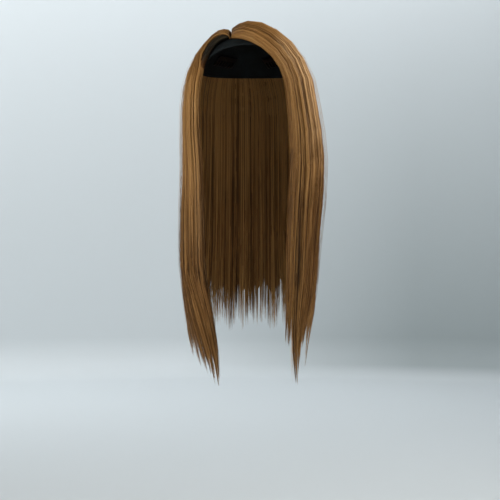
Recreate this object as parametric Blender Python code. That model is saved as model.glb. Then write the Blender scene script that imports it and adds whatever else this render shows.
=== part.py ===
"""A clip-in hairpiece: a thin dark base, straight hair combed from a side part, and four comb clips.

X runs across, -Y is the front and +Z is up. The origin is on the underside of the base, at its crown.
"""

import bmesh
import bpy
import numpy as np
from mathutils import Matrix, Vector

# The hollow that the hairpiece is worn on, all lengths in metres
HOLLOW_HALF_WIDTH = 0.067
HOLLOW_HALF_DEPTH = 0.092
HOLLOW_HEIGHT = 0.088
HOLLOW_ROUNDNESS = 2.2

# The base that the hair is tied to, and how far its rim stays inside the hollow's widest level
BASE_THICKNESS = 0.0018
BASE_SIDE_INSET = 0.007
BASE_FRONT_INSET = 0.027
BASE_BACK_INSET = 0.012
BASE_HALF_WIDTH = HOLLOW_HALF_WIDTH - BASE_SIDE_INSET
BASE_FRONT = HOLLOW_HALF_DEPTH - BASE_FRONT_INSET
BASE_BACK = HOLLOW_HALF_DEPTH - BASE_BACK_INSET
BASE_RINGS = 6
BASE_SPOKES = 40

# The clearance between pieces that rest on each other
SEAT_GAP = 0.0006

# The parting, from its front end, behind the bare front of the base, to its back end past the crown
BARE_FRONT = 0.018
PART_LENGTH = 0.092
PART_FRONT_X = -0.0215
PART_BACK_X = -0.012
PART_FRONT_Y = BARE_FRONT - BASE_FRONT
PART_BACK_Y = PART_FRONT_Y + PART_LENGTH
PART_GAP = 0.0012
SECTION_GAP = 0.0008

# The hair. A strand's share is 0 at the widest level and 1 at its tip
HAIR_DROP = 0.414
HAIR_BODY = 0.013
HAIR_SWING = 0.006
SWING_RAMP = 0.125
ROOT_BODY = 0.0030
TIP_BODY = 0.0016
THIN_FROM = 0.55
TIP_LIFT = 0.0045
EDGE_BODY_SHARE = 0.42
EDGE_WIDTH_SHARE = 0.10
LOCK_RELIEF = 0.0028
LOCK_NOTCH = 0.048
FRONT_LEAN = 0.008
FRONT_ALL = 0.10
FRONT_NONE = 0.50
GATHER_LENGTH = 0.122
GATHER_START = HAIR_DROP - GATHER_LENGTH
GATHER_CURVE = 1.5
BACK_SEAM = 0.0012

# The comb clips
CLIP_LENGTH = 0.034
CLIP_SPINE = 0.006
CLIP_TEETH = 7
CLIP_TOOTH_LENGTH = 0.009
CLIP_TOOTH_WIDTH = 0.0022
CLIP_THICKNESS = 0.0012
TOOTH_POINT = 0.0007
SINK_TRIES = 24

LEFT = -1
RIGHT = 1

# What differs between the two sides of the parting
SIDES = {
    LEFT: {"name": "left", "front_angle": 54.0, "bow": -0.10, "gather_x": -0.028, "gather": 0.60},
    RIGHT: {"name": "right", "front_angle": 35.5, "bow": 0.06, "gather_x": 0.056, "gather": 0.85},
}

# Over the crown: run from the parting to the widest level, and each side's body as a share of HAIR_BODY
CROWN_COLUMNS = ("run", LEFT, RIGHT)
CROWN_BODY = (
    (0.00, 0.42, 0.42),
    (0.06, 0.66, 0.72),
    (0.12, 0.78, 0.92),
    (0.20, 0.80, 0.94),
    (0.30, 0.79, 0.82),
    (0.42, 0.78, 0.66),
    (0.56, 0.78, 0.58),
    (0.75, 0.80, 0.62),
    (1.00, 0.80, 0.86),
)

# Below the crown: level as a share of HAIR_DROP, body as a share of HAIR_BODY, swing out at the sides as a
# share of HAIR_SWING, and lean of the front edges towards the middle as a share of FRONT_LEAN
FALL_COLUMNS = ("level", "body", "swing", "lean")
FALL = {
    LEFT: (
        (0.21, 0.80, 0.00, 0.00),
        (0.29, 0.86, 0.05, 0.10),
        (0.38, 0.88, 0.35, 0.60),
        (0.48, 0.92, 0.90, 1.10),
        (0.58, 0.94, 1.20, 1.30),
        (0.70, 0.94, 1.60, 1.70),
        (0.80, 0.92, 1.90, 2.80),
        (0.90, 0.88, 1.80, 3.40),
        (1.00, 0.80, 1.40, 3.40),
    ),
    RIGHT: (
        (0.21, 0.86, 0.10, 0.00),
        (0.29, 0.94, 0.55, -0.30),
        (0.38, 0.95, 0.95, -0.35),
        (0.46, 0.95, 0.95, -0.10),
        (0.58, 0.92, 0.30, 0.10),
        (0.70, 0.88, 0.25, 0.15),
        (0.80, 0.84, 0.25, 0.50),
        (0.90, 0.80, -0.40, 0.80),
        (1.00, 0.76, -0.90, 0.80),
    ),
}

# The locks, from the front edge round to the middle of the back. Columns: where the lock ends, as a share of
# the way round, and how deep its tip hangs, as a share of HAIR_DROP
LOCKS = {
    LEFT: (
        (0.045, 0.968),
        (0.110, 1.000),
        (0.175, 0.985),
        (0.250, 0.955),
        (0.330, 0.935),
        (0.420, 0.905),
        (0.505, 0.880),
        (0.600, 0.862),
        (0.695, 0.870),
        (0.800, 0.855),
        (0.895, 0.868),
        (1.000, 0.858),
    ),
    RIGHT: (
        (0.045, 0.885),
        (0.105, 0.995),
        (0.170, 0.965),
        (0.245, 0.915),
        (0.330, 0.895),
        (0.415, 0.875),
        (0.510, 0.862),
        (0.600, 0.855),
        (0.700, 0.868),
        (0.795, 0.852),
        (0.900, 0.865),
        (1.000, 0.853),
    ),
}
LOCKS_PER_SECTION = 4
SECTION_NAMES = ("front", "side", "back")
LOCK_STEPS = 4
CROWN_ROWS = 9
FALL_ROWS = 12

# Comb clips: name, and where each sits under the base, as shares of its half width and of its front or back
CLIPS = (
    ("clip_front_left", -0.47, -0.62),
    ("clip_front_right", 0.47, -0.62),
    ("clip_back_left", -0.54, 0.62),
    ("clip_back_right", 0.54, 0.62),
)

FINISHES = {
    "base": ((0.012, 0.016, 0.018), 0.85, 0.0),
    "hair": ((0.30, 0.16, 0.065), 0.38, 0.0),
    "clip": ((0.02, 0.02, 0.022), 0.35, 1.0),
}


def column(rows, names, name):
    place = names.index(name)
    return np.array([row[place] for row in rows])


def eased(keys, values, at):
    """A smooth curve through a table's values."""
    slopes = np.gradient(values, keys)
    at = np.clip(at, keys[0], keys[-1])
    row = np.clip(np.searchsorted(keys, at) - 1, 0, len(keys) - 2)
    step = keys[row + 1] - keys[row]
    t = (at - keys[row]) / step
    rise = values[row + 1] - values[row]
    bend_in = slopes[row] * step
    bend_out = slopes[row + 1] * step
    return values[row] + t * bend_in + t * t * (3 * rise - 2 * bend_in - bend_out) + t**3 * (
        bend_in + bend_out - 2 * rise
    )


def crown_share(across, along):
    """How high the hollow's roof stands there, from 1 at the crown to 0 at its widest level."""
    inside = 1 - np.abs(across) ** HOLLOW_ROUNDNESS - np.abs(along) ** HOLLOW_ROUNDNESS
    return np.maximum(inside, 0) ** (1 / HOLLOW_ROUNDNESS)


def rim_reach(across, along):
    """How far that direction runs to the widest level, as a share of the hollow's half width and depth."""
    return (np.abs(across) ** HOLLOW_ROUNDNESS + np.abs(along) ** HOLLOW_ROUNDNESS) ** (
        -1 / HOLLOW_ROUNDNESS
    )


def on_crown(across, along, offset):
    """A point at an offset outside the hollow's roof."""
    return np.stack(
        (
            across * (HOLLOW_HALF_WIDTH + offset),
            along * (HOLLOW_HALF_DEPTH + offset),
            crown_share(across, along) * (HOLLOW_HEIGHT + offset) - HOLLOW_HEIGHT,
        ),
        axis=-1,
    )


def parting(round_share, side):
    """Where the hair leaves the parting, as shares of the hollow's half width and depth."""
    x = PART_FRONT_X + (PART_BACK_X - PART_FRONT_X) * round_share**2 + side * PART_GAP / 2
    y = PART_FRONT_Y + (PART_BACK_Y - PART_FRONT_Y) * round_share
    return x / HOLLOW_HALF_WIDTH, y / HOLLOW_HALF_DEPTH


def widest(round_share, side):
    """Where the hair passes the widest level, as shares of the hollow's half width and depth."""
    first = np.radians(SIDES[side]["front_angle"])
    last = np.pi - BACK_SEAM / 2 / HOLLOW_HALF_WIDTH
    angle = first + (last - first) * round_share
    across = np.sin(angle)
    along = -np.cos(angle)
    reach = rim_reach(across, along)
    return side * across * reach, along * reach


def edge_body(round_share):
    """The hair thins towards its front edge."""
    return EDGE_BODY_SHARE + (1 - EDGE_BODY_SHARE) * np.sqrt(np.clip(round_share / EDGE_WIDTH_SHARE, 0, 1))


def crown_strand(round_share, side, run, layer, relief):
    """A point of the hair over the crown. The layer is 0 on the inside and 1 on the outside."""
    start_across, start_along = parting(round_share, side)
    end_across, end_along = widest(round_share, side)
    way = np.sin(run * np.pi / 2)
    across = start_across + (end_across - start_across) * way
    along = start_along + (end_along - start_along) * way
    along = along - SIDES[side]["bow"] * np.sin(np.pi * way) * (1 - round_share) ** 2
    runs = column(CROWN_BODY, CROWN_COLUMNS, "run")
    shares = eased(runs, column(CROWN_BODY, CROWN_COLUMNS, side), run)
    body = np.maximum(HAIR_BODY * shares * edge_body(round_share), ROOT_BODY) - relief * way
    return on_crown(across, along, BASE_THICKNESS + SEAT_GAP + layer * body)


def fall_strand(round_share, side, share, tip, layer, relief):
    """A point of the hair that hangs below the widest level, down to its tip."""
    depth = HOLLOW_HEIGHT + (tip - HOLLOW_HEIGHT) * share
    levels = column(FALL[side], FALL_COLUMNS, "level")
    body, swing, lean = (
        eased(levels, column(FALL[side], FALL_COLUMNS, name), depth / HAIR_DROP)
        for name in ("body", "swing", "lean")
    )
    across, along = widest(round_share, side)
    thinning = 1 - np.clip((share - THIN_FROM) / (1 - THIN_FROM), 0, 1) ** 2
    body = TIP_BODY + (HAIR_BODY * body * edge_body(round_share) - TIP_BODY - relief) * thinning
    offset = BASE_THICKNESS + SEAT_GAP + TIP_LIFT * (1 - thinning) + layer * body
    offset = offset + HAIR_SWING * swing * across**2 * np.clip(share / SWING_RAMP, 0, 1)
    x = across * (HOLLOW_HALF_WIDTH + offset)
    y = along * (HOLLOW_HALF_DEPTH + offset)
    frontness = np.clip((FRONT_NONE - round_share) / (FRONT_NONE - FRONT_ALL), 0, 1)
    x = x - side * FRONT_LEAN * lean * frontness
    gathered = np.clip((depth - GATHER_START) / GATHER_LENGTH, 0, 1) ** GATHER_CURVE
    x = x + (SIDES[side]["gather_x"] - x) * gathered * SIDES[side]["gather"] * frontness
    return np.stack((x, y, -depth), axis=-1)


def new_object(name, mesh, finish):
    obj = bpy.data.objects.new(name, mesh)
    bpy.context.collection.objects.link(obj)
    colour, roughness, metallic = FINISHES[finish]
    material = bpy.data.materials.get(finish) or bpy.data.materials.new(finish)
    material.use_nodes = True
    shader = material.node_tree.nodes["Principled BSDF"]
    shader.inputs["Base Color"].default_value = (*colour, 1)
    shader.inputs["Roughness"].default_value = roughness
    shader.inputs["Metallic"].default_value = metallic
    mesh.materials.append(material)
    mesh.shade_smooth()
    mesh.set_sharp_from_angle(angle=np.radians(40))
    return obj


def closed_mesh(name, points, faces):
    mesh = bpy.data.meshes.new(name)
    mesh.from_pydata(points, [], faces)
    work = bmesh.new()
    work.from_mesh(mesh)
    bmesh.ops.triangulate(work, faces=work.faces)
    bmesh.ops.recalc_face_normals(work, faces=work.faces)
    work.to_mesh(mesh)
    work.free()
    return mesh


def make_base():
    """The base: a thin shell over the crown, cut to an egg-shaped rim."""
    points = []
    for offset in (0.0, BASE_THICKNESS):
        points.append(tuple(on_crown(0.0, 0.0, offset)))
        for ring in range(1, BASE_RINGS + 1):
            for spoke in range(BASE_SPOKES):
                angle = 2 * np.pi * spoke / BASE_SPOKES
                across = np.sin(angle)
                along = -np.cos(angle)
                length = BASE_FRONT if along < 0 else BASE_BACK
                share = rim_reach(across, along) * ring / BASE_RINGS
                across *= share * BASE_HALF_WIDTH / HOLLOW_HALF_WIDTH
                along *= share * length / HOLLOW_HALF_DEPTH
                points.append(tuple(on_crown(across, along, offset)))
    per_skin = 1 + BASE_RINGS * BASE_SPOKES
    faces = []
    for skin in range(2):
        first = skin * per_skin
        for spoke in range(BASE_SPOKES):
            after = (spoke + 1) % BASE_SPOKES
            faces.append((first, first + 1 + spoke, first + 1 + after))
            for ring in range(BASE_RINGS - 1):
                inner = first + 1 + ring * BASE_SPOKES
                outer = inner + BASE_SPOKES
                faces.append((inner + spoke, outer + spoke, outer + after, inner + after))
    rim = 1 + (BASE_RINGS - 1) * BASE_SPOKES
    for spoke in range(BASE_SPOKES):
        after = (spoke + 1) % BASE_SPOKES
        faces.append((rim + spoke, rim + after, per_skin + rim + after, per_skin + rim + spoke))
    new_object("cap_base", closed_mesh("cap_base", points, faces), "base")


def section_columns(side, section):
    """The columns of points across a section: each one's place round the hair, its ridge and its drop."""
    rows = LOCKS[side]
    first = section * LOCKS_PER_SECTION
    columns = []
    for lock in range(first, first + LOCKS_PER_SECTION):
        start, before = rows[lock - 1] if lock else (0.0, rows[0][1])
        end, tip = rows[lock]
        for step in range(LOCK_STEPS):
            share = step / LOCK_STEPS
            shortest = tip if step else min(tip, before)
            drop = shortest * HAIR_DROP - LOCK_NOTCH * abs(2 * share - 1)
            columns.append([start + (end - start) * share, np.sin(np.pi * share), drop])
    columns.append([end, 0.0, tip * HAIR_DROP - LOCK_NOTCH])
    inset = SECTION_GAP / (PART_BACK_Y - PART_FRONT_Y) / 2
    if section:
        columns[0][0] += inset
    if section < len(SECTION_NAMES) - 1:
        columns[-1][0] -= inset
    return np.array(columns).T


def section_skin(side, section, layer):
    """The rows of points of one face of a section, from the parting down to the tips."""
    place, ridge, drop = section_columns(side, section)
    relief = LOCK_RELIEF * (1 - ridge)
    rows = [crown_strand(place, side, row / CROWN_ROWS, layer, relief) for row in range(CROWN_ROWS)]
    rows += [
        fall_strand(place, side, row / FALL_ROWS, drop, layer, relief) for row in range(FALL_ROWS + 1)
    ]
    return np.array(rows)


def make_hair(name, sections):
    """Hair in locks side by side, fused along their edges. Sections that follow each other meet as one."""
    skins = []
    for layer in (0.0, 1.0):
        parts = [section_skin(side, section, layer)[:, ::turn] for side, section, turn in sections]
        skins.append(np.concatenate(parts, axis=1))
    rows, columns = skins[0].shape[:2]
    points = np.concatenate([skin.reshape(-1, 3) for skin in skins])

    def at(skin, row, step):
        return (skin * rows + row) * columns + step

    faces = []
    for row in range(rows - 1):
        for step in range(columns - 1):
            for skin in range(2):
                faces.append(
                    (
                        at(skin, row, step),
                        at(skin, row + 1, step),
                        at(skin, row + 1, step + 1),
                        at(skin, row, step + 1),
                    )
                )
    for row in (0, rows - 1):
        for step in range(columns - 1):
            faces.append((at(0, row, step), at(0, row, step + 1), at(1, row, step + 1), at(1, row, step)))
    for step in (0, columns - 1):
        for row in range(rows - 1):
            faces.append((at(0, row, step), at(0, row + 1, step), at(1, row + 1, step), at(1, row, step)))
    new_object(name, closed_mesh(name, [tuple(point) for point in points], faces), "hair")


def comb_outline():
    """The comb's outline in its own plane: X along the spine, Y towards the tips of the teeth."""
    half = CLIP_LENGTH / 2
    pitch = (CLIP_LENGTH - CLIP_TOOTH_WIDTH) / (CLIP_TEETH - 1)
    outline = [(-half, 0.0)]
    for tooth in range(CLIP_TEETH):
        start = -half + tooth * pitch
        end = start + CLIP_TOOTH_WIDTH
        middle = (start + end) / 2
        tip = CLIP_SPINE + CLIP_TOOTH_LENGTH
        if tooth:
            outline.append((start, CLIP_SPINE))
        outline += [(start, tip - TOOTH_POINT), (middle - TOOTH_POINT / 2, tip)]
        outline += [(middle + TOOTH_POINT / 2, tip), (end, tip - TOOTH_POINT)]
        if tooth < CLIP_TEETH - 1:
            outline.append((end, CLIP_SPINE))
    outline.append((half, 0.0))
    return outline


def clip_frame(width_share, length_share):
    """The clip's place under the base: X round the base, Y down towards its rim, Z out through it."""
    length = BASE_FRONT if length_share < 0 else BASE_BACK
    across = width_share * BASE_HALF_WIDTH / HOLLOW_HALF_WIDTH
    along = length_share * length / HOLLOW_HALF_DEPTH
    step = 1e-4
    centre = Vector(on_crown(across, along, 0.0))
    side_step = Vector(on_crown(across + step, along, 0.0)) - centre
    back_step = Vector(on_crown(across, along + step, 0.0)) - centre
    out = side_step.cross(back_step).normalized()
    down = Vector((0, 0, -1))
    down = (down - out * down.dot(out)).normalized()
    round_base = down.cross(out)
    frame = Matrix((round_base, down, out)).transposed().to_4x4()
    frame.translation = centre
    return frame


def under_roof(point):
    """About how far a point lies inside the hollow's roof, along the line to the hollow's middle."""
    shares = (point.x / HOLLOW_HALF_WIDTH, point.y / HOLLOW_HALF_DEPTH, point.z / HOLLOW_HEIGHT + 1)
    reach = sum(abs(share) ** HOLLOW_ROUNDNESS for share in shares) ** (1 / HOLLOW_ROUNDNESS)
    return (1 / reach - 1) * (point - Vector((0, 0, -HOLLOW_HEIGHT))).length


def make_clip(name, width_share, length_share):
    """A comb clip, laid flat against the underside of the base so that its corners just clear it."""
    frame = clip_frame(width_share, length_share)
    middle = (CLIP_SPINE + CLIP_TOOTH_LENGTH) / 2
    outline = [(x, y - middle) for x, y in comb_outline()]
    above, top = 0, -CLIP_LENGTH / 2
    for _ in range(SINK_TRIES):
        between = (above + top) / 2
        if min(under_roof(frame @ Vector((x, y, between))) for x, y in outline) < SEAT_GAP:
            above = between
        else:
            top = between
    work = bmesh.new()
    bottom = [work.verts.new(frame @ Vector((x, y, top - CLIP_THICKNESS))) for x, y in outline]
    face = work.faces.new(bottom)
    raised = bmesh.ops.extrude_face_region(work, geom=[face])
    lifted = [item for item in raised["geom"] if isinstance(item, bmesh.types.BMVert)]
    out = frame.to_3x3() @ Vector((0, 0, CLIP_THICKNESS))
    bmesh.ops.translate(work, vec=out, verts=lifted)
    bmesh.ops.triangulate(work, faces=work.faces)
    bmesh.ops.recalc_face_normals(work, faces=work.faces)
    mesh = bpy.data.meshes.new(name)
    work.to_mesh(mesh)
    work.free()
    new_object(name, mesh, "clip")


def main():
    for obj in list(bpy.data.objects):
        bpy.data.objects.remove(obj, do_unlink=True)
    make_base()
    back = SECTION_NAMES.index("back")
    for side in (LEFT, RIGHT):
        for section in range(back):
            make_hair("hair_" + SIDES[side]["name"] + "_" + SECTION_NAMES[section], [(side, section, 1)])
    make_hair("hair_back", [(LEFT, back, 1), (RIGHT, back, -1)])
    for name, width_share, length_share in CLIPS:
        make_clip(name, width_share, length_share)


main()
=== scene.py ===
"""A clip-in hairpiece: straight honey-brown hair combed from a side parting over a thin dark net base.

X runs across, -Y is the front and +Z is up, in metres, as in the frame.
"""

import bpy
import numpy as np
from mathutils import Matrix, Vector


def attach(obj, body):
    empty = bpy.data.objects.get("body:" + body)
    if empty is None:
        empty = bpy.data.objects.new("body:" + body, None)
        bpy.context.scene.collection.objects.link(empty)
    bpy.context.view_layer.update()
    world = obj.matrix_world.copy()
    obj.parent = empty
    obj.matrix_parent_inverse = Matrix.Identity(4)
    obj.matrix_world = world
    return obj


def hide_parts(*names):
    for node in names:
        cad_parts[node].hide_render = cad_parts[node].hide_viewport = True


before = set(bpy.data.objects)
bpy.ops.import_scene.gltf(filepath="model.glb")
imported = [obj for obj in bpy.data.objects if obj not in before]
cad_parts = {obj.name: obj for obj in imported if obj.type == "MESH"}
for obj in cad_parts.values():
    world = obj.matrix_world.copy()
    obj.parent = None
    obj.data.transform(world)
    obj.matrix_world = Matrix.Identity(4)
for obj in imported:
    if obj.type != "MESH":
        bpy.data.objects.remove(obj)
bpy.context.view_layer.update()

LEFT = -1
RIGHT = 1
SIDE_NAMES = {LEFT: "left", RIGHT: "right"}

# The hollow that the hairpiece is worn on
HOLLOW_HALF_WIDTH = 0.067
HOLLOW_HALF_DEPTH = 0.092
HOLLOW_HEIGHT = 0.088
HOLLOW_ROUNDNESS = 2.2

# The base
BASE_THICKNESS = 0.0018
BASE_HALF_WIDTH = 0.060
BASE_FRONT = 0.065
BASE_BACK = 0.080
SEAT_GAP = 0.0006
HEM_RADIUS = 0.0011

# The parting
PART_FRONT_X = -0.0215
PART_BACK_X = -0.012
PART_FRONT_Y = -0.047
PART_BACK_Y = 0.045
PART_GAP = 0.0006

# The hair, in the form of the frame's solids but with shallower grooves between its locks
HAIR_DROP = 0.414
HAIR_BODY = 0.013
HAIR_SWING = 0.006
SWING_RAMP = 0.125
ROOT_BODY = 0.0030
TIP_BODY = 0.0016
THIN_FROM = 0.55
TIP_LIFT = 0.0045
EDGE_BODY_SHARE = 0.42
EDGE_WIDTH_SHARE = 0.10
LOCK_RELIEF = 0.0016
FRONT_LEAN = 0.008
FRONT_ALL = 0.10
FRONT_NONE = 0.50
GATHER_LENGTH = 0.122
GATHER_START = HAIR_DROP - GATHER_LENGTH
GATHER_CURVE = 1.5
LOOSE_WIDTH = 0.06
BARE_WIDTH = 0.40
BARE_RUN = 0.66
BACK_SEAM = 0.0002

# Each side: the angle of its front edge in degrees, its bow over the crown, where its tips gather and how
# far, how freely its front edge hangs, and how far its crown is drawn back off the base
SIDES = {
    LEFT: {
        "front_angle": 54.0,
        "bow": -0.10,
        "gather_x": -0.028,
        "gather": 0.60,
        "loose_edge": 0.0,
        "bare": 0.075,
    },
    RIGHT: {
        "front_angle": 35.5,
        "bow": 0.06,
        "gather_x": 0.056,
        "gather": 0.85,
        "loose_edge": 0.8,
        "bare": 0.0,
    },
}

# Over the crown: run from the parting to the widest level, and each side's body as a share of HAIR_BODY
CROWN_COLUMNS = ("run", LEFT, RIGHT)
CROWN_BODY = (
    (0.00, 0.42, 0.42),
    (0.06, 0.66, 0.72),
    (0.12, 0.78, 0.92),
    (0.20, 0.80, 0.94),
    (0.30, 0.75, 0.80),
    (0.42, 0.73, 0.64),
    (0.56, 0.73, 0.58),
    (0.75, 0.76, 0.62),
    (1.00, 0.78, 0.86),
)

# Below the crown: level as a share of HAIR_DROP, body as a share of HAIR_BODY, swing out at the sides as a
# share of HAIR_SWING, and lean of the front edges towards the middle as a share of FRONT_LEAN
FALL_COLUMNS = ("level", "body", "swing", "lean")
FALL = {
    LEFT: (
        (0.21, 0.80, 0.00, 0.00),
        (0.29, 0.86, 0.05, 0.10),
        (0.38, 0.88, 0.35, 0.60),
        (0.48, 0.92, 0.90, 1.10),
        (0.58, 0.94, 1.20, 1.30),
        (0.70, 0.94, 1.60, 1.70),
        (0.80, 0.92, 1.90, 2.80),
        (0.90, 0.88, 1.80, 3.40),
        (1.00, 0.80, 1.40, 3.40),
    ),
    RIGHT: (
        (0.21, 0.86, 0.10, 0.00),
        (0.29, 0.94, 0.55, -0.30),
        (0.38, 0.95, 0.95, -0.35),
        (0.46, 0.95, 0.95, -0.10),
        (0.58, 0.92, 0.30, 0.10),
        (0.70, 0.88, 0.25, 0.15),
        (0.80, 0.84, 0.25, 0.50),
        (0.90, 0.80, -0.40, 0.80),
        (1.00, 0.76, -0.90, 0.80),
    ),
}

# The locks, from the front edge round to the middle of the back: where each ends, as a share of the way
# round, and how deep its tip hangs, as a share of HAIR_DROP
LOCKS = {
    LEFT: (
        (0.045, 0.968),
        (0.110, 1.014),
        (0.175, 0.992),
        (0.250, 0.970),
        (0.330, 0.955),
        (0.420, 0.925),
        (0.505, 0.880),
        (0.600, 0.862),
        (0.695, 0.870),
        (0.800, 0.855),
        (0.895, 0.868),
        (1.000, 0.858),
    ),
    RIGHT: (
        (0.045, 0.895),
        (0.105, 1.006),
        (0.170, 0.965),
        (0.245, 0.900),
        (0.330, 0.880),
        (0.415, 0.875),
        (0.510, 0.862),
        (0.600, 0.855),
        (0.700, 0.868),
        (0.795, 0.852),
        (0.900, 0.865),
        (1.000, 0.853),
    ),
}
LOCKS_PER_SECTION = 4
SECTION_NAMES = ("front", "side", "back")
FRONT = 0
BACK = len(SECTION_NAMES) - 1

# Strands: the points of each along its length, and how many there are in the front, side and back sections
CROWN_RUNS = (0.0, 0.022, 0.07, 0.14, 0.24, 0.37, 0.52, 0.68, 0.84)
FALL_SHARES = (0.0, 0.11, 0.24, 0.42, 0.62, 0.80, 0.92, 1.0)
ROOT_RUN = 0.02
ROOT_SHARE = 0.15
OUTER_STRANDS = (1480, 1040, 850)
OUTER_DEPTH = 0.22
INNER_STRANDS = 450
INNER_DEPTH = 0.14
INNER_RUNS = 4
EDGE_STRANDS = 220
EDGE_REACH = 0.022

# How far round the back strands may drift past its middle, where 1 is the middle, and how far they start
BACK_CROSSING = 1.03
BACK_END = 1.5 * BACK_CROSSING - 0.5

# A strand's own form
STRAND_RADIUS = 0.00028
STRAND_FLATNESS = 0.75
STRAND_TURNS = (90, 210, 330)
ROOT_TAPER = (0.5, 0.85)
TIP_TAPER = (0.75, 0.5, 0.12)

# How the strands draw together into wisps, from the crown down and then more towards the tips
WISPS_PER_LOCK = 6
CROWN_GATHER = 0.22
FALL_GATHER = 0.78
FALL_GATHER_FROM = 1.2
TIP_DRAW = 0.4
TIP_DRAW_FROM = 0.5
SECTION_CLUMPING = (1.0, 0.60, 0.30)
WISP_SLANT = 0.010
WISP_SWAY = 0.0016
STRAY_HAIRS = 0.18
STRAY_CLUMPING = 0.15
STRAY_SWAY = 0.0120
SWAY_TURN = 2.1
SWAY_CHANGE = 190

# How ragged the tips are. A long wisp is its lock, its place in the lock and how much longer it hangs
TIP_REACH = 0.006
LOCK_NOTCH = 0.016
WISP_NOTCH = 0.008
WISP_SHORT = 0.016
SHORT_HAIRS = 0.055
SECTION_RAGGED = (2.2, 1.6, 1.1)
LONG_WISPS = {LEFT: (), RIGHT: ((5, 2, 0.030),)}

# Each strand's tone: near that of its neighbours, and lighter in a few hairs and in strays; the inside
# strands are lightened with painted light
TONE_GROUPS = 170
GROUP_SHARE = 0.6
LIGHT_HAIRS = 0.08
LIGHT_TONE = 0.5
STRAY_TONE = 0.25
INNER_PAINTED_LIGHT = 0.35
INNER_CONTRAST = 1.8

# The loose single hairs off the curtains
FLYAWAYS = 110
FLYAWAY_REACH = 0.9
FLYAWAY_LAYER = 0.05
FLYAWAY_CLUMPING = 0.25
FLYAWAY_SWAY = 0.006
FLYAWAY_RADIUS = 0.00013
FLYAWAY_LIFT = 0.0050
FLYAWAY_FROM = 0.3
FLYAWAY_TAPER = (0.6, 0.15)

# The body under the strands
BODY_COLUMNS = 80
BODY_RUNS = np.linspace(0.03, 1, 13)[:-1]
BODY_SHARES = np.linspace(0, 1, 18)
BODY_LAYERS = (0.06, 0.80)
BODY_CROSSING = 0.004
BODY_SHORTER = 0.045
BODY_EDGE = 0.002

# The comb's furrows: how many there are on each side, their width as a share of the way round, how far along
# the hair each reaches, how it wanders aside, and the wide ones over the crown
FURROWS = 120
FURROW_WIDTH = (0.0012, 0.0052)
FURROW_DEPTH = (0.0005, 0.0030)
FURROW_REACH = 0.35
FURROW_REACH_MORE = 0.9
FURROW_WANDER = 0.006
FURROW_TURN = 2.2
FURROW_CHANGE = 40
CROWN_FURROWS = {
    LEFT: (0.020, 0.052, 0.095, 0.150),
    RIGHT: (0.028, 0.048, 0.066, 0.090, 0.112, 0.141, 0.178, 0.220),
}
CROWN_FURROW = {"width": 0.0025, "depth": 0.0026, "middle": 0.55, "reach": 0.55, "wander": 0.002}

# Where the streaks lie on the hair: metres for the whole way round, over the crown and down the fall
FLOW_WIDTH = 0.4
CROWN_FLOW = 0.11
FALL_FLOW = 0.3

# The seeds of all that is uneven
TONE_SEED = 20
FLYAWAY_SEED = 41
FURROW_SEED = 60
WISP_SEED = 80
STRAND_SEED = 100

# The net and its hem
NET_SPOKES = 160
NET_RINGS = 26
NET_THICKNESS = BASE_THICKNESS * 0.6
SHARP_EDGE = 50
HEM_PLACE = 0.985
HEM_SIDES = 8
HEM_WIDENING = 1.6

# Colours of the hair, from the painted shade at a furrow's bottom to a light strand, and of its shine
DEEP_BROWN = (0.038, 0.0135, 0.0040)
BROWN = (0.128, 0.050, 0.014)
HONEY = (0.290, 0.138, 0.040)
GOLD = (0.490, 0.262, 0.088)
STRAND_COLOURS = ((0.30, DEEP_BROWN), (0.52, BROWN), (0.74, HONEY), (1.0, GOLD))
HAIR_SHEEN = (1.0, 0.74, 0.42, 1)

# The streaks: how often each kind changes across the hair and along it, and how finely it breaks up
STREAKS = (("Broad", 300.0, 5.0, 5.0), ("Fine", 1500.0, 14.0, 2.0), ("Crown", 100.0, 3.0, 5.0))
STREAK_ROUGHNESS = 0.66

# How much each value lightens a strand, and what is taken off the sum. The sunk and inside values paint
# shade, darker in the comb's furrows and deeper under the outer strands, and the length value paints light
# and shade along the hair
TONE_WEIGHTS = {
    "broad": 0.62,
    "own": 0.56,
    "shade": 0.14,
    "fine": 0.28,
    "crown": 1.0,
    "length": 1.0,
    "sunk": -0.38,
    "inside": -0.22,
}
TONE_OFFSET = 0.495

# How light the hair is along its length, from the parting to the tips, as painted light and shade: a painted
# highlight over the shoulders and painted shade lower down, where the light falls off. And where the crown's
# streaks fade
STRAND_LENGTH = 0.45
LENGTH_LIGHT_AND_SHADE = (
    (0.0, 0.20),
    (0.13, 0.38),
    (0.28, 0.60),
    (0.50, 0.50),
    (0.68, 0.26),
    (0.90, 0.28),
    (1.0, 0.46),
)
CROWN_FADE = ((0.10, 1.0), (0.30, 0.0))

# The body under the strands: its near-black painted shadow at the roots over the crown, which shows where
# the crown is drawn back off the base, and how light it is from the parting to the tips. Its colours are
# darker than the strands', as painted shade under them
ROOT_PAINTED_SHADOW = (0.004, 0.005, 0.005)
BODY_LENGTH = 0.41
BODY_ROOT_SHADOW = ((0.0, 0.0), (0.13, 0.0), (0.18, 0.42), (1.0, 0.42))
BODY_COLOURS = ((0.56, ROOT_PAINTED_SHADOW), (0.76, DEEP_BROWN), (0.92, BROWN), (1.0, HONEY))
BODY_WEIGHTS = {"fine": 0.5, "broad": 0.5}

# The net's threads and the clips' lacquer
NET_COLOURS = ((0.35, (0.002, 0.003, 0.004)), (0.75, (0.006, 0.010, 0.012)), (1.0, (0.014, 0.021, 0.023)))
THREAD_SCALE = 900.0
LACQUER_COLOURS = ((0.40, (0.010, 0.010, 0.011)), (0.66, (0.020, 0.020, 0.022)), (0.78, (0.16, 0.16, 0.17)))

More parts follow.
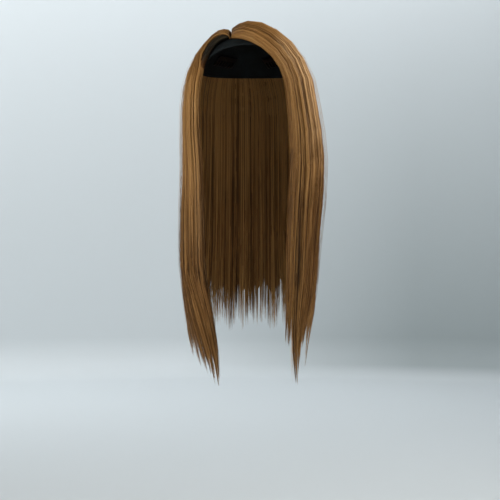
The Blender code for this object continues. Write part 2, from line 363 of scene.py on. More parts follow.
# The view and the stage
IMAGE_PIXELS = 500
PIXEL = 0.0012
CAMERA_DISTANCE = 1.45
CAMERA_HEIGHT = -0.257
SENSOR = 36.0
FLOOR_HEIGHT = -0.640
STAGE_RADIUS = 2.25
STAGE_TOP = 2.2
SWEEP_RADIUS = 0.12
SWEEP_STEPS = 13
STAGE_SPOKES = 96
# The stage's pale paint, and the painted shade that darkens the wall towards its lower right, where less
# light falls
PALE_PAINT = (0.62, 0.66, 0.68)
WALL_PAINTED_SHADE = (0.34, 0.38, 0.39)
WALL_SHADE_RIGHT = ((0.30, 0.0), (1.0, 1.0))
WALL_SHADE_HEIGHT = ((0.0, 0.0), (0.03, 1.0), (0.10, 1.0), (0.90, 0.0))

# The lights: where each stands, what it faces, its width and height, its power and its colour
WARM_LIGHT = (1.0, 0.95, 0.88)
COOL_LIGHT = (0.96, 0.98, 1.0)
PALE_LIGHT = (0.97, 0.99, 1.0)
LIGHTS = (
    ("left_window", (-0.85, -0.75, 0.05), (0, 0, -0.2), (0.5, 0.6), 6.6, WARM_LIGHT),
    ("right_window", (1.1, -0.1, 0.35), (0, -0.5, -0.2), (0.5, 0.7), 8.0, WARM_LIGHT),
    ("right_shoulder", (0.85, -0.3, 0.85), (0, -0.4, -0.1), (0.4, 0.4), 4.0, WARM_LIGHT),
    ("wall_left", (-1.5, 1.1, 0.7), (-0.9, 2.2, 0.1), (0.8, 0.8), 12.0, PALE_LIGHT),
    ("wall_top", (-0.2, 1.6, 1.5), (-0.2, 2.2, 0.5), (2.0, 0.5), 21.0, COOL_LIGHT),
    ("floor_right", (1.3, 0.2, 0.9), (0.9, 0.4, -0.64), (0.7, 0.7), 6.0, COOL_LIGHT),
    ("front_fill", (0.3, -2.0, -0.1), (0, 0, -0.2), (1.2, 1.2), 5.0, WARM_LIGHT),
)
STUDIO_AIR = (0.86, 0.93, 1.0, 1)
STUDIO_AIR_STRENGTH = 0.02


def column(rows, names, name):
    """One column of a table, by its name."""
    place = names.index(name)
    return np.array([row[place] for row in rows])


def eased(keys, values, at):
    """A smooth curve through a table's values."""
    slopes = np.gradient(values, keys)
    at = np.clip(at, keys[0], keys[-1])
    row = np.clip(np.searchsorted(keys, at) - 1, 0, len(keys) - 2)
    step = keys[row + 1] - keys[row]
    t = (at - keys[row]) / step
    rise = values[row + 1] - values[row]
    bend_in = slopes[row] * step
    bend_out = slopes[row + 1] * step
    return values[row] + t * bend_in + t * t * (3 * rise - 2 * bend_in - bend_out) + t**3 * (
        bend_in + bend_out - 2 * rise
    )


def crown_share(across, along):
    """How high the hollow's roof stands there, from 1 at the crown to 0 at its widest level."""
    inside = 1 - np.abs(across) ** HOLLOW_ROUNDNESS - np.abs(along) ** HOLLOW_ROUNDNESS
    return np.maximum(inside, 0) ** (1 / HOLLOW_ROUNDNESS)


def rim_reach(across, along):
    """How far that direction runs to the widest level, as a share of the hollow's half width and depth."""
    return (np.abs(across) ** HOLLOW_ROUNDNESS + np.abs(along) ** HOLLOW_ROUNDNESS) ** (
        -1 / HOLLOW_ROUNDNESS
    )


def on_crown(across, along, offset):
    """A point at an offset outside the hollow's roof."""
    return np.stack(
        (
            across * (HOLLOW_HALF_WIDTH + offset),
            along * (HOLLOW_HALF_DEPTH + offset),
            crown_share(across, along) * (HOLLOW_HEIGHT + offset) - HOLLOW_HEIGHT,
        ),
        axis=-1,
    )


def parting(round_share, side):
    """Where the hair leaves the parting, as shares of the hollow's half width and depth."""
    x = PART_FRONT_X + (PART_BACK_X - PART_FRONT_X) * round_share**2 + side * PART_GAP / 2
    y = PART_FRONT_Y + (PART_BACK_Y - PART_FRONT_Y) * round_share
    return x / HOLLOW_HALF_WIDTH, y / HOLLOW_HALF_DEPTH


def widest(round_share, side):
    """Where the hair passes the widest level, as shares of the hollow's half width and depth."""
    first = np.radians(SIDES[side]["front_angle"])
    last = np.pi - BACK_SEAM / 2 / HOLLOW_HALF_WIDTH
    angle = first + (last - first) * round_share
    across = np.sin(angle)
    along = -np.cos(angle)
    reach = rim_reach(across, along)
    return side * across * reach, along * reach


def edge_body(round_share):
    """The hair thins towards its front edge."""
    share = np.clip(round_share / EDGE_WIDTH_SHARE, 0, 1)
    return EDGE_BODY_SHARE + (1 - EDGE_BODY_SHARE) * np.sqrt(share)


def crown_strand(round_share, side, run, layer, relief):
    """A point of the hair over the crown. The layer is 0 on the inside and 1 on the outside."""
    start_across, start_along = parting(round_share, side)
    end_across, end_along = widest(round_share, side)
    way = np.sin(run * np.pi / 2)
    across = start_across + (end_across - start_across) * way
    along = start_along + (end_along - start_along) * way
    along = along - SIDES[side]["bow"] * np.sin(np.pi * way) * (1 - round_share) ** 2
    runs = column(CROWN_BODY, CROWN_COLUMNS, "run")
    shares = eased(runs, column(CROWN_BODY, CROWN_COLUMNS, side), run)
    body = np.maximum(HAIR_BODY * shares * edge_body(round_share), ROOT_BODY) - relief * way
    body = body * np.clip(run / ROOT_RUN, ROOT_SHARE, 1)
    return on_crown(across, along, BASE_THICKNESS + SEAT_GAP + layer * body)


def fall_strand(round_share, side, share, tip, layer, relief):
    """A point of the hair that hangs below the widest level, down to its tip."""
    depth = HOLLOW_HEIGHT + (tip - HOLLOW_HEIGHT) * share
    levels = column(FALL[side], FALL_COLUMNS, "level")
    body, swing, lean = (
        eased(levels, column(FALL[side], FALL_COLUMNS, name), depth / HAIR_DROP)
        for name in ("body", "swing", "lean")
    )
    across, along = widest(round_share, side)
    thinning = 1 - np.clip((share - THIN_FROM) / (1 - THIN_FROM), 0, 1) ** 2
    body = TIP_BODY + (HAIR_BODY * body * edge_body(round_share) - TIP_BODY - relief) * thinning
    offset = BASE_THICKNESS + SEAT_GAP + TIP_LIFT * (1 - thinning) + layer * body
    offset = offset + HAIR_SWING * swing * across**2 * np.clip(share / SWING_RAMP, 0, 1)
    x = across * (HOLLOW_HALF_WIDTH + offset)
    y = along * (HOLLOW_HALF_DEPTH + offset)
    frontness = np.clip((FRONT_NONE - round_share) / (FRONT_NONE - FRONT_ALL), 0, 1)
    x = x - side * FRONT_LEAN * lean * frontness
    gathered = np.clip((depth - GATHER_START) / GATHER_LENGTH, 0, 1) ** GATHER_CURVE
    gathered = gathered * (1 - SIDES[side]["loose_edge"] * np.clip(1 - round_share / LOOSE_WIDTH, 0, 1))
    x = x + (SIDES[side]["gather_x"] - x) * gathered * SIDES[side]["gather"] * frontness
    return np.stack((x, y, -depth), axis=-1)


def lock_place(round_share, side):
    """Which lock each strand is in, and where it lies across it, from 0 to 1."""
    ends = np.array([row[0] for row in LOCKS[side]])
    starts = np.concatenate(([0.0], ends[:-1]))
    lock = np.clip(np.searchsorted(ends, round_share), 0, len(ends) - 1)
    return lock, np.clip((round_share - starts[lock]) / (ends[lock] - starts[lock]), 0, 1), starts, ends


def piece_name(side, *rest):
    """A piece's name: hair, its side, and the rest."""
    return "_".join(("hair", SIDE_NAMES[side], *rest))


def lock_tips(side):
    """How deep each lock's tip hangs."""
    return np.array([row[1] for row in LOCKS[side]])


def section_range(side, section):
    """Where a section starts and ends, as shares of the way round."""
    rows = LOCKS[side]
    first = section * LOCKS_PER_SECTION
    return (rows[first - 1][0] if first else 0.0), rows[first + LOCKS_PER_SECTION - 1][0]


def furrow_table(side):
    """Where each furrow runs on that side, how wide and deep it is, and where along the hair it fades."""
    rng = np.random.default_rng(FURROW_SEED + side)
    thick = rng.random(FURROWS) ** 2.5
    table = {
        "place": np.sort(rng.random(FURROWS)),
        "width": FURROW_WIDTH[0] + (FURROW_WIDTH[1] - FURROW_WIDTH[0]) * thick,
        "depth": FURROW_DEPTH[0] + (FURROW_DEPTH[1] - FURROW_DEPTH[0]) * rng.random(FURROWS) ** 1.6,
        "middle": 2.0 * rng.random(FURROWS),
        "reach": FURROW_REACH + FURROW_REACH_MORE * rng.random(FURROWS),
        "wander": FURROW_WANDER * rng.standard_normal(FURROWS),
    }
    for place in CROWN_FURROWS[side]:
        row = {"place": place, **CROWN_FURROW}
        table = {name: np.append(values, row[name]) for name, values in table.items()}
    return table


FURROW_TABLES = {side: furrow_table(side) for side in (LEFT, RIGHT)}


def combed_relief(place, side, along):
    """How far the comb's furrows sink the hair there. Along runs from 0 at the parting to 2 at the tips."""
    table = FURROW_TABLES[side]
    place, along = np.broadcast_arrays(place, along)
    total = np.zeros(place.shape)
    for centre, width, depth, middle, reach, wander in zip(*table.values()):
        drift = centre + wander * np.sin(FURROW_TURN * along + FURROW_CHANGE * centre)
        fade = np.exp(-(((along - middle) / reach) ** 2))
        total += depth * fade * np.exp(-(((place - drift) / width) ** 2))
    _, across, _, _ = lock_place(place, side)
    return total + LOCK_RELIEF * (1 - np.sin(np.pi * across)) ** 2 * np.clip(along, 0.25, 1)


def strand_paths(side, hairs, crown_points=len(CROWN_RUNS)):
    """The points of each strand, with its last few over the crown, and how sunk each is."""
    place = hairs["place"][:, None]
    layer = hairs["layer"][:, None]
    runs = np.array(CROWN_RUNS)[None, len(CROWN_RUNS) - crown_points :]
    shares = np.array(FALL_SHARES)[None, :]
    along = np.concatenate((runs, 1 + shares), axis=1)
    drift = hairs["sway"][:, None] * np.sin(along * SWAY_TURN + place * SWAY_CHANGE)
    falling = np.clip((along - FALL_GATHER_FROM) / (2 - FALL_GATHER_FROM), 0, 1) ** 1.3
    gather = CROWN_GATHER * np.clip(along, 0, 1) + FALL_GATHER * falling
    pull = hairs["clump"][:, None] * gather
    moved = np.clip(place + (hairs["wisp"][:, None] - place) * pull + drift, 0.0, BACK_CROSSING)
    fall_place = moved[:, runs.shape[1] :]
    relief = combed_relief(fall_place, side, 1 + shares)
    near_tip = np.clip((shares - TIP_DRAW_FROM) / (1 - TIP_DRAW_FROM), 0, 1)
    fall_layer = layer + (0.5 - layer) * TIP_DRAW * near_tip
    fall = fall_strand(fall_place, side, shares, hairs["drop"][:, None], fall_layer, relief)
    crown_place = moved[:, : runs.shape[1]]
    sunk = combed_relief(crown_place, side, runs)
    bare = SIDES[side]["bare"] * np.sin(np.pi * np.clip(runs / BARE_RUN, 0, 1)) ** 0.7
    drawn_back = crown_place + bare * np.clip(1 - crown_place / BARE_WIDTH, 0, 1)
    top = crown_strand(drawn_back, side, runs, layer, sunk)
    return np.concatenate((top, fall), axis=1), np.concatenate((sunk, relief), axis=1)


def outward(paths):
    """The direction away from the hollow's middle line at each point, level below its widest level."""
    out = paths * np.array((1.0, 1.0, 0.0))
    out[..., 2] = np.clip(paths[..., 2] + HOLLOW_HEIGHT, 0, None)
    return out / (np.linalg.norm(out, axis=-1, keepdims=True) + 1e-9)


def tapered(steps, root, tip):
    """How thick a strand is at each point, as a share of its thickness."""
    taper = np.ones(steps)
    taper[: len(root)] = root
    taper[steps - len(tip) :] = tip
    return taper


def tube_points(paths, thick):
    """The corners round each point of each strand, which is flatter towards the head."""
    ahead = np.gradient(paths, axis=1)
    ahead /= np.linalg.norm(ahead, axis=2, keepdims=True)
    out = outward(paths)
    out = out - ahead * np.sum(out * ahead, axis=2, keepdims=True)
    out /= np.linalg.norm(out, axis=2, keepdims=True) + 1e-9
    aside = np.cross(ahead, out)
    corners = []
    for turn in np.radians(STRAND_TURNS):
        sideways = aside * (np.cos(turn) * thick)[..., None]
        corners.append(paths + sideways + out * (np.sin(turn) * STRAND_FLATNESS * thick)[..., None])
    return np.stack(corners, axis=2).reshape(-1, 3)


def tube_faces(first_point, strands, steps):
    """The four-sided faces along each strand, and the triangles that close its ends."""
    strand = np.arange(strands)[:, None, None]
    step = np.arange(steps - 1)[None, :, None]
    corner = np.arange(3)[None, None, :]
    after = (corner + 1) % 3
    low = first_point + (strand * steps + step) * 3
    around = (low + corner, low + after, low + 3 + after, low + 3 + corner)
    quads = np.stack(around, axis=-1).reshape(-1, 4)
    first = first_point + (np.arange(strands) * steps * 3)[:, None]
    last = first + (steps - 1) * 3
    return quads, np.concatenate((first + np.array((2, 1, 0)), last + np.array((0, 1, 2))))


def tube_maps(paths, sunk, hairs):
    """What the material reads at each corner: where it lies, its strand's tones and how deep it is, which
    the material paints as shade.
    """
    gone = np.cumsum(np.linalg.norm(np.diff(paths, axis=1), axis=2), axis=1)
    gone = np.concatenate((gone[:, -1:] * 0, gone), axis=1) - gone[:, -1:]
    place, tone, shade, layer = (
        np.broadcast_to(hairs[name][:, None], gone.shape) for name in ("place", "tone", "shade", "layer")
    )
    maps = {
        "flow": (place * FLOW_WIDTH, gone),
        "tone": (tone, shade),
        "depth": (sunk / FURROW_DEPTH[1], 1 - layer),
    }
    pairs = {name: np.stack(pair, axis=2).reshape(-1, 2) for name, pair in maps.items()}
    return {name: np.repeat(pair, 3, axis=0) for name, pair in pairs.items()}


def add_map(mesh, name, values):
    """Gives each face's corners two values for the material."""
    layer = mesh.uv_layers.new(name=name, do_init=False)
    layer.uv.foreach_set("vector", values.astype(np.float32).reshape(-1))


def mesh_of_faces(name, points, quads, ends):
    """A smooth mesh of four-sided faces and triangles, and the point at each corner of its faces."""
    loops = np.concatenate((quads.reshape(-1), ends.reshape(-1)))
    starts = np.concatenate((np.arange(len(quads)) * 4, len(quads) * 4 + np.arange(len(ends)) * 3))
    mesh = bpy.data.meshes.new(name)
    mesh.vertices.add(len(points))
    mesh.vertices.foreach_set("co", points.astype(np.float32).reshape(-1))
    mesh.loops.add(len(loops))
    mesh.loops.foreach_set("vertex_index", loops.astype(np.int32))
    mesh.polygons.add(len(starts))
    mesh.polygons.foreach_set("loop_start", starts.astype(np.int32))
    mesh.polygons.foreach_set("use_smooth", np.ones(len(starts), dtype=bool))
    mesh.update(calc_edges=True)
    return mesh, loops


def tube_mesh(name, bundles):
    """Closed three-sided strands. Each bundle is (paths, how sunk they are, hairs, taper)."""
    points, quads, ends, maps = [], [], [], []
    used = 0
    for paths, sunk, hairs, taper in bundles:
        points.append(tube_points(paths, hairs["radius"][:, None] * taper))
        along, closing = tube_faces(used, *paths.shape[:2])
        quads.append(along)
        ends.append(closing)
        maps.append(tube_maps(paths, sunk, hairs))
        used += len(points[-1])
    mesh, loops = mesh_of_faces(name, *(np.concatenate(parts) for parts in (points, quads, ends)))
    for map_name in maps[0]:
        add_map(mesh, map_name, np.concatenate([made[map_name] for made in maps])[loops])
    mesh.validate()
    return mesh


def wisp_table(side):
    """Each lock's wisps: where each lies across the lock, and how short, tight and aslant it is."""
    rng = np.random.default_rng(WISP_SEED + side)
    shape = (len(LOCKS[side]), WISPS_PER_LOCK)
    widths = 0.35 + rng.random(shape) ** 1.5
    ends = np.cumsum(widths, axis=1) / widths.sum(axis=1, keepdims=True)
    starts = np.concatenate((ends[:, :1] * 0, ends[:, :-1]), axis=1)
    return {
        "end": ends,
        "start": starts,
        "middle": (starts + ends) / 2 + 0.25 * (ends - starts) * (rng.random(shape) - 0.5),
        "shade": rng.random(shape),
        "short": rng.random(shape) ** 1.5,
        "tight": 0.35 + 0.65 * rng.random(shape),
        "slant": WISP_SLANT * rng.standard_normal(shape),
    }


WISP_TABLES = {side: wisp_table(side) for side in (LEFT, RIGHT)}


def grouped_tone(side, place, rng):
    """Each strand's tone, near that of the few strands that it lies among."""
    tones = np.random.default_rng(TONE_SEED + side).random(TONE_GROUPS + 1)
    group = tones[(np.clip(place, 0, 1) * TONE_GROUPS).astype(int)]
    own = rng.random(len(place))
    light = rng.random(len(place)) < LIGHT_HAIRS
    return GROUP_SHARE * group + (1 - GROUP_SHARE) * own + LIGHT_TONE * light


def grown_hairs(side, place, layer, rng):
    """What each strand is: where it lies, the wisp that it joins, how deep it hangs and how it strays."""
    lock, across, starts, ends = lock_place(place, side)
    table = WISP_TABLES[side]
    wisp = np.sum(across[:, None] > table["end"][lock], axis=1).clip(0, WISPS_PER_LOCK - 1)
    first, last, middle, shade, short, tight, slant = (
        table[name][lock, wisp] for name in ("start", "end", "middle", "shade", "short", "tight", "slant")
    )
    count = len(place)
    off_wisp = np.clip(2 * np.abs(across - middle) / (last - first), 0, 1)
    drop = lock_tips(side)[lock] * HAIR_DROP + TIP_REACH
    clumping, ragged = (
        np.array(values)[lock // LOCKS_PER_SECTION] for values in (SECTION_CLUMPING, SECTION_RAGGED)
    )
    drop = drop - LOCK_NOTCH * np.abs(2 * middle - 1) ** 1.3 - WISP_NOTCH * off_wisp * clumping
    drop = drop - WISP_SHORT * short * clumping - SHORT_HAIRS * rng.random(count) ** ragged
    for long_lock, long_wisp, longer in LONG_WISPS[side]:
        drop = drop + longer * ((lock == long_lock) & (wisp == long_wisp))
    stray = rng.random(count) < STRAY_HAIRS
    return {
        "place": place,
        "layer": layer,
        "wisp": starts[lock] + (ends[lock] - starts[lock]) * middle + slant,
        "shade": shade,
        "drop": drop,
        "clump": clumping * np.where(stray, STRAY_CLUMPING, tight * (0.6 + 0.4 * rng.random(count))),
        "sway": np.where(stray, STRAY_SWAY, WISP_SWAY) * rng.standard_normal(count),
        "radius": STRAND_RADIUS * (0.6 + 0.8 * rng.random(count)),
        "tone": grouped_tone(side, place, rng) + STRAY_TONE * stray,
    }


def strands_of_section(side, section):
    """The strands of one section: most on the outside, some on the inside and round the front edge."""
    rng = np.random.default_rng(STRAND_SEED + section * 10 + side)
    start, end = section_range(side, section)
    if section == BACK:
        end = BACK_END
    places = start + (end - start) * rng.random(OUTER_STRANDS[section])
    layers = 1.0 - OUTER_DEPTH * rng.random(OUTER_STRANDS[section]) ** 1.5
    if section == FRONT:
        places = np.concatenate((places, EDGE_REACH * rng.random(EDGE_STRANDS) ** 1.5))
        layers = np.concatenate((layers, rng.random(EDGE_STRANDS)))
    outer = grown_hairs(side, places, layers, rng)
    places = start + (end - start) * rng.random(INNER_STRANDS)
    inner = grown_hairs(side, places, INNER_DEPTH * rng.random(INNER_STRANDS), rng)
    # The inside strands are lightened with painted light, against the painted depth shade that they also get
    inner["tone"] = inner["tone"] * INNER_CONTRAST + INNER_PAINTED_LIGHT
    full = tapered(len(CROWN_RUNS) + len(FALL_SHARES), ROOT_TAPER, TIP_TAPER)
    short = tapered(INNER_RUNS + len(FALL_SHARES), ROOT_TAPER[:1], TIP_TAPER)
    bundles = (
        (*strand_paths(side, outer), outer, full),
        (*strand_paths(side, inner, INNER_RUNS), inner, short),
    )
    return tube_mesh(piece_name(side, SECTION_NAMES[section], "strands"), bundles)


def flyaway_strands(side):
    """Loose single hairs that stand a little off the curtains."""
    rng = np.random.default_rng(FLYAWAY_SEED + side)
    places = FLYAWAY_REACH * rng.random(FLYAWAYS)
    hairs = grown_hairs(side, places, 1.0 + FLYAWAY_LAYER * rng.random(FLYAWAYS), rng)
    hairs["clump"] = FLYAWAY_CLUMPING * hairs["clump"]
    hairs["sway"] = FLYAWAY_SWAY * rng.standard_normal(FLYAWAYS)
    hairs["radius"] = FLYAWAY_RADIUS * (0.7 + 0.6 * rng.random(FLYAWAYS))
    paths, sunk = strand_paths(side, hairs)
    steps = np.linspace(0, 1, paths.shape[1])
    bell = np.sin(np.pi * np.clip((steps - FLYAWAY_FROM) / (1 - FLYAWAY_FROM), 0, 1))[None, :, None]
    out = outward(paths)
    out[..., 2] = 0
    paths = paths + out * FLYAWAY_LIFT * rng.random(FLYAWAYS)[:, None, None] ** 2 * bell
    taper = tapered(paths.shape[1], FLYAWAY_TAPER[:1], FLYAWAY_TAPER)
    return tube_mesh(piece_name(side, "flyaways"), ((paths, sunk, hairs, taper),))


def body_skin(side, place, drop, layer):
    """One skin of the body under the strands, in rows from the parting to the tips."""
    rows = [crown_strand(place, side, run, layer, combed_relief(place, side, run)) for run in BODY_RUNS]
    for share in BODY_SHARES:
        rows.append(fall_strand(place, side, share, drop, layer, combed_relief(place, side, 1 + share)))
    return rows


def shell_faces(rows, columns):
    """The faces of two skins that are closed round their edges."""
    inner, outer = np.arange(2 * rows * columns).reshape(2, rows, columns)
    skins = (
        (inner[:-1, :-1], inner[1:, :-1], inner[1:, 1:], inner[:-1, 1:]),
        (outer[:-1, :-1], outer[:-1, 1:], outer[1:, 1:], outer[1:, :-1]),
    )
    quads = [np.stack(corners, -1).reshape(-1, 4) for corners in skins]
    for row, turn in ((0, 1), (rows - 1, -1)):
        strip = np.stack((inner[row, :-1], inner[row, 1:], outer[row, 1:], outer[row, :-1]), -1)
        quads.append(strip[:, ::turn])
    for step, turn in ((0, -1), (columns - 1, 1)):
        strip = np.stack((inner[:-1, step], inner[1:, step], outer[1:, step], outer[:-1, step]), -1)
        quads.append(strip[:, ::turn])
    return np.concatenate(quads)


def body_of_section(side, section):
    """The closed body under the strands, furrowed as they are and cut short of their tips."""
    start, end = section_range(side, section)
    if section == BACK:
        end += BODY_CROSSING
    place = np.linspace(start, end, BODY_COLUMNS)
    if section == FRONT:
        place[0] += BODY_EDGE
    lock, across, _, _ = lock_place(place, side)
    drop = lock_tips(side)[lock] * HAIR_DROP - LOCK_NOTCH * np.abs(2 * across - 1) - BODY_SHORTER
    skins = np.array([body_skin(side, place, drop, layer) for layer in BODY_LAYERS])
    quads = shell_faces(*skins.shape[1:3])
    if side == LEFT:
        quads = quads[:, ::-1]
    mesh = bpy.data.meshes.new(piece_name(side, SECTION_NAMES[section], "body"))
    mesh.from_pydata([tuple(point) for point in skins.reshape(-1, 3)], [], quads.tolist())
    mesh.shade_smooth()
    along = np.concatenate((BODY_RUNS * CROWN_FLOW, CROWN_FLOW + BODY_SHARES * FALL_FLOW))
    flow = np.stack(np.broadcast_arrays(place[None, None, :] * FLOW_WIDTH, along[None, :, None]), axis=-1)
    flow = np.broadcast_to(flow, (*skins.shape[:3], 2)).reshape(-1, 2)
    add_map(mesh, "flow", flow[quads.reshape(-1)])
    return mesh


def node(tree, kind, **inputs):
    """A new node with some of its inputs set."""
    made = tree.nodes.new(kind)
    for socket, value in inputs.items():
        made.inputs[socket.replace("_", " ")].default_value = value
    return made


def streak_group():
    """Streaks that run along the hair: from locks, from single strands, and wider ones for the crown."""
    group = bpy.data.node_groups.new("combed_streaks", "ShaderNodeTree")
    face = group.interface
    face.new_socket("Across", in_out="INPUT", socket_type="NodeSocketFloat")
    face.new_socket("Along", in_out="INPUT", socket_type="NodeSocketFloat")
    for output, *_ in STREAKS:
        face.new_socket(output, in_out="OUTPUT", socket_type="NodeSocketFloat")
    start = group.nodes.new("NodeGroupInput")
    end = group.nodes.new("NodeGroupOutput")
    for output, across, along, detail in STREAKS:
        place = group.nodes.new("ShaderNodeCombineXYZ")
        for socket, axis, scale in (("Across", "X", across), ("Along", "Y", along)):
            scaled = math_node(group, "MULTIPLY", start.outputs[socket], scale)
            group.links.new(scaled, place.inputs[axis])
        noise = node(group, "ShaderNodeTexNoise", Scale=1.0, Detail=detail, Roughness=STREAK_ROUGHNESS)
        noise.noise_dimensions = "2D"
        group.links.new(place.outputs[0], noise.inputs["Vector"])
        group.links.new(noise.outputs["Fac"], end.inputs[output])
    return group


def ramp(tree, source, stops):
    """Colours along a value. A stop that is one number is a grey."""
    made = tree.nodes.new("ShaderNodeValToRGB")
    while len(made.color_ramp.elements) < len(stops):
        made.color_ramp.elements.new(0.5)
    for element, (place, colour) in zip(made.color_ramp.elements, stops):
        element.position = place
        element.color = (colour, colour, colour, 1) if isinstance(colour, float) else (*colour, 1)
    tree.links.new(source, made.inputs["Fac"])
    return made.outputs["Color"]


def math_node(tree, operation, first, second):
    """The result of a sum on two values, each a number or a node's output."""
    made = tree.nodes.new("ShaderNodeMath")
    made.operation = operation
    for place, value in enumerate((first, second)):
        if isinstance(value, (int, float)):
            made.inputs[place].default_value = value
        else:
            tree.links.new(value, made.inputs[place])
    return made.outputs[0]


def weighted(tree, values, weights):
    """The sum of the named values, each times its weight."""
    total = None
    for name, weight in weights.items():
        part = math_node(tree, "MULTIPLY", values[name], weight)
        total = part if total is None else math_node(tree, "ADD", total, part)
    return total


def rough_bump(tree, shader, height, strength, distance):
    """Raises the surface a little where the height is great."""
    bump = node(tree, "ShaderNodeBump", Strength=strength, Distance=distance)
    tree.links.new(height, bump.inputs["Height"])
    tree.links.new(bump.outputs["Normal"], shader.inputs["Normal"])


def new_material(name):
    """A new material, its node tree and its shader."""
    material = bpy.data.materials.new(name)
    material.use_nodes = True
    return material, material.node_tree, material.node_tree.nodes["Principled BSDF"]


def map_values(tree, name):
    """The two values that a UV map holds at each point."""
    values = tree.nodes.new("ShaderNodeUVMap")
    values.uv_map = name
    split = tree.nodes.new("ShaderNodeSeparateXYZ")
    tree.links.new(values.outputs["UV"], split.inputs[0])
    return split.outputs["X"], split.outputs["Y"]


def combed(tree, streaks):
    """The streaks, placed along the hair."""
    group = tree.nodes.new("ShaderNodeGroup")
    group.node_tree = streaks
    for value, socket in zip(map_values(tree, "flow"), ("Across", "Along")):
        tree.links.new(value, group.inputs[socket])
    return {output.lower(): group.outputs[output] for output, *_ in STREAKS}


def honey_hair(streaks):
    """Strands: each has its own tone and wisps differ; painted shade darkens strands in a furrow and strands
    deep under the outer ones, and painted light and shade run along the length.
    """
    material, tree, shader = new_material("honey_hair")
    values = combed(tree, streaks)
    values["own"], values["shade"] = map_values(tree, "tone")
    # The depth map drives painted shade: strands sunk in a furrow and strands deep in the hair are darkened
    values["sunk"], values["inside"] = map_values(tree, "depth")
    _, to_tip = map_values(tree, "flow")
    along = math_node(tree, "ADD", math_node(tree, "MULTIPLY", to_tip, 1 / STRAND_LENGTH), 1.0)
    # Painted light and shade along the hair: a painted highlight over the shoulders, painted shade lower
    # down
    values["length"] = ramp(tree, along, LENGTH_LIGHT_AND_SHADE)
    crown = math_node(tree, "SUBTRACT", values["crown"], 0.5)
    values["crown"] = math_node(tree, "MULTIPLY", crown, ramp(tree, along, CROWN_FADE))
    mixed = math_node(tree, "SUBTRACT", weighted(tree, values, TONE_WEIGHTS), TONE_OFFSET)
    tree.links.new(ramp(tree, mixed, STRAND_COLOURS), shader.inputs["Base Color"])
    rough = math_node(tree, "MULTIPLY", values["own"], 0.14)
    tree.links.new(math_node(tree, "ADD", rough, 0.25), shader.inputs["Roughness"])
    shader.inputs["IOR"].default_value = 1.55
    shader.inputs["Specular IOR Level"].default_value = 0.62
    shader.inputs["Specular Tint"].default_value = HAIR_SHEEN
    return material


def under_hair(streaks):
    """The hair under the outer strands, painted darker than them as shade, and near black at the roots as
    painted shadow.
    """
    material, tree, shader = new_material("under_hair")
    values = combed(tree, streaks)
    _, along = map_values(tree, "flow")
    # Painted shadow: the body is near black at the roots over the crown
    painted_root_shadow = ramp(tree, math_node(tree, "MULTIPLY", along, 1 / BODY_LENGTH), BODY_ROOT_SHADOW)
    mixed = math_node(tree, "ADD", weighted(tree, values, BODY_WEIGHTS), painted_root_shadow)
    tree.links.new(ramp(tree, mixed, BODY_COLOURS), shader.inputs["Base Color"])
    rough_bump(tree, shader, values["fine"], 0.6, 0.0006)
    shader.inputs["Roughness"].default_value = 0.48
    shader.inputs["Specular Tint"].default_value = HAIR_SHEEN
    return material


def net_cloth():
    """The base's blue-black net, with its threads."""
    material, tree, shader = new_material("net_cloth")
    place = tree.nodes.new("ShaderNodeTexCoord")
    threads = []
    for turn in (0.0, np.pi / 2):
        mapping = node(tree, "ShaderNodeMapping", Scale=(THREAD_SCALE,) * 3, Rotation=(0.0, 0.0, turn))
        tree.links.new(place.outputs["Object"], mapping.inputs["Vector"])
        wave = node(tree, "ShaderNodeTexWave", Scale=0.5, Distortion=0.6, Detail=1.0)
        tree.links.new(mapping.outputs[0], wave.inputs["Vector"])
        threads.append(wave.outputs["Fac"])
    weave = math_node(tree, "MULTIPLY", *threads)
    cloud = node(tree, "ShaderNodeTexNoise", Scale=60.0, Detail=3.0)
    tree.links.new(place.outputs["Object"], cloud.inputs["Vector"])
    mixed = math_node(tree, "ADD", math_node(tree, "MULTIPLY", weave, 0.5), cloud.outputs["Fac"])
    tree.links.new(ramp(tree, mixed, NET_COLOURS), shader.inputs["Base Color"])
    rough_bump(tree, shader, weave, 0.35, 0.0004)
    shader.inputs["Roughness"].default_value = 0.8
    shader.inputs["Specular IOR Level"].default_value = 0.22
    return material


def black_lacquer():
    """The clips' black lacquer, worn to bare steel in places."""
    material, tree, shader = new_material("black_lacquer")
    place = tree.nodes.new("ShaderNodeTexCoord")
    cloud = node(tree, "ShaderNodeTexNoise", Scale=420.0, Detail=4.0)
    tree.links.new(place.outputs["Object"], cloud.inputs["Vector"])
    tree.links.new(ramp(tree, cloud.outputs["Fac"], LACQUER_COLOURS), shader.inputs["Base Color"])
    rough = math_node(tree, "MULTIPLY", cloud.outputs["Fac"], 0.35)
    tree.links.new(math_node(tree, "ADD", rough, 0.18), shader.inputs["Roughness"])
    shader.inputs["Metallic"].default_value = 0.6
    return material


def place_piece(mesh, material, slot, *replaced):
    """Puts a piece of hair or cloth on the body, named as its mesh is."""
    piece = bpy.data.objects.new(mesh.name, mesh)
    bpy.context.collection.objects.link(piece)
    mesh.materials.append(material)
    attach(piece, "root")
    if replaced:
        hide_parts(*replaced)


def base_ring(ring_share, offset):
    """Points round the base, at a share of its reach."""
    angle = np.linspace(0, 2 * np.pi, NET_SPOKES, endpoint=False)
    across = np.sin(angle)
    along = -np.cos(angle)
    length = np.where(along < 0, BASE_FRONT, BASE_BACK)
    reach = rim_reach(across, along) * ring_share
    across = across * reach * BASE_HALF_WIDTH / HOLLOW_HALF_WIDTH
    along = along * reach * length / HOLLOW_HALF_DEPTH
    return on_crown(across, along, offset)


